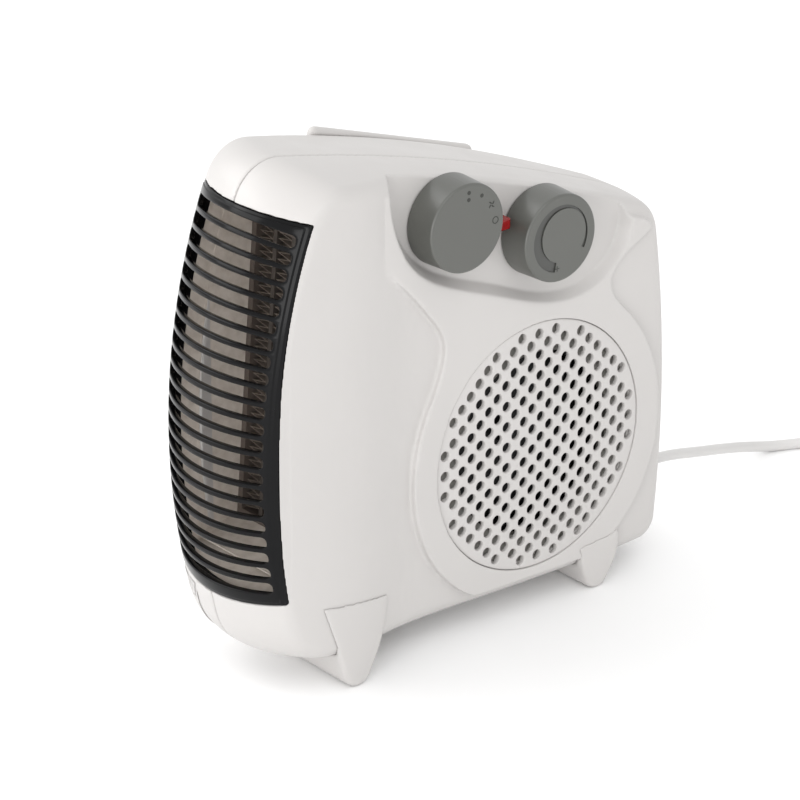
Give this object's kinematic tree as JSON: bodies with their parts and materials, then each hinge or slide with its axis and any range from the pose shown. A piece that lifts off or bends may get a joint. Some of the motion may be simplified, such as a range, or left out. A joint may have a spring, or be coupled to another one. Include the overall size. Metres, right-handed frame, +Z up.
{
  "type": "fan heater",
  "caption": "Upright electric fan heater with a curved slotted outlet, a round perforated inlet, a mode knob and a thermostat knob on one side face, and a mains lead.",
  "frame": {"origin": "middle of the heater's box in X and Y, without its mains lead, at floor height", "axes": "+X towards the side with the knobs and the round inlet, -Y towards the air outlet, +Y towards the rear where the lead leaves, +Z up"},
  "size_m": [0.1082, 0.5008, 0.2422],
  "materials": {
    "shell_white": "satin, slightly textured warm white",
    "inlet_white": "satin warm white",
    "grille_black": "glossy black",
    "knob_grey": "satin mid grey",
    "lens_red": "translucent red",
    "lamp_glass": "clear",
    "dark_plastic": "matt black",
    "spindle_plastic": "natural nylon",
    "zinc_steel": "zinc plated",
    "bright_steel": "ground",
    "lamination_steel": "laminated, oiled",
    "bearing_bronze": "sintered bronze",
    "winding_copper": "enamelled copper under tape",
    "duct_plastic": "heat resistant grey",
    "mica": "mica sheet",
    "frame_brown": "dark brown heat resistant",
    "fin_aluminium": "bare",
    "ptc_ceramic": "unglazed",
    "wire_pvc": "silicone sleeve",
    "cord_white": "satin white flexible plastic",
    "plug_white": "satin white",
    "tie_black": "matt black"
  },
  "bodies": {
    "housing": {"control_side_shell": "shell_white", "back_shell": "shell_white", "outlet_grille": "grille_black", "inlet_grille": "inlet_white", "front_foot": "shell_white", "rear_foot": "shell_white", "side_feet": "shell_white", "top_rail": "shell_white", "switch_body": "dark_plastic", "thermostat_body": "dark_plastic", "control_bracket": "zinc_steel", "indicator_lens": "lens_red", "indicator_lamp": "lamp_glass", "motor_stator": "lamination_steel", "motor_coil": "winding_copper", "motor_brackets": "zinc_steel", "motor_bearings": "bearing_bronze", "motor_spacers": "spindle_plastic", "motor_plate": "zinc_steel", "motor_screws": "zinc_steel", "housing_screws": "zinc_steel", "volute_wall": "duct_plastic", "inlet_ring": "duct_plastic", "duct_liners": "mica", "heater_frame": "frame_brown", "heater_fins": "fin_aluminium", "ceramic_bars": "ptc_ceramic", "heater_terminals": "zinc_steel", "thermal_cutout": "zinc_steel", "thermal_fuse": "zinc_steel", "wiring": "wire_pvc", "terminal_block": "spindle_plastic", "cord_clamp": "dark_plastic", "strain_relief": "cord_white", "power_cord": "cord_white", "plug_lead": "cord_white", "cord_coil": "cord_white", "coil_tie": "tie_black", "plug_body": "plug_white", "plug_pins": "bright_steel"},
    "switch": {"switch_knob": "knob_grey", "switch_spindle": "spindle_plastic"},
    "thermostat": {"thermostat_knob": "knob_grey", "thermostat_spindle": "spindle_plastic"},
    "fan": {"impeller": "dark_plastic", "motor_shaft": "bright_steel", "motor_rotor": "lamination_steel"}
  },
  "joints": [
    {"name": "switch_turn", "type": "hinge", "parent": "housing", "child": "switch", "pos_m": [0.038, -0.0086, 0.2029], "axis": [1, 0, 0], "range_deg": [-90, 0]},
    {"name": "thermostat_turn", "type": "hinge", "parent": "housing", "child": "thermostat", "pos_m": [0.038, 0.0449, 0.185], "axis": [1, 0, 0], "range_deg": [-70, 200]},
    {"name": "fan_spin", "type": "hinge", "parent": "housing", "child": "fan", "pos_m": [0.008, 0.0425, 0.0823], "axis": [1, 0, 0], "continuous": true}
  ]
}
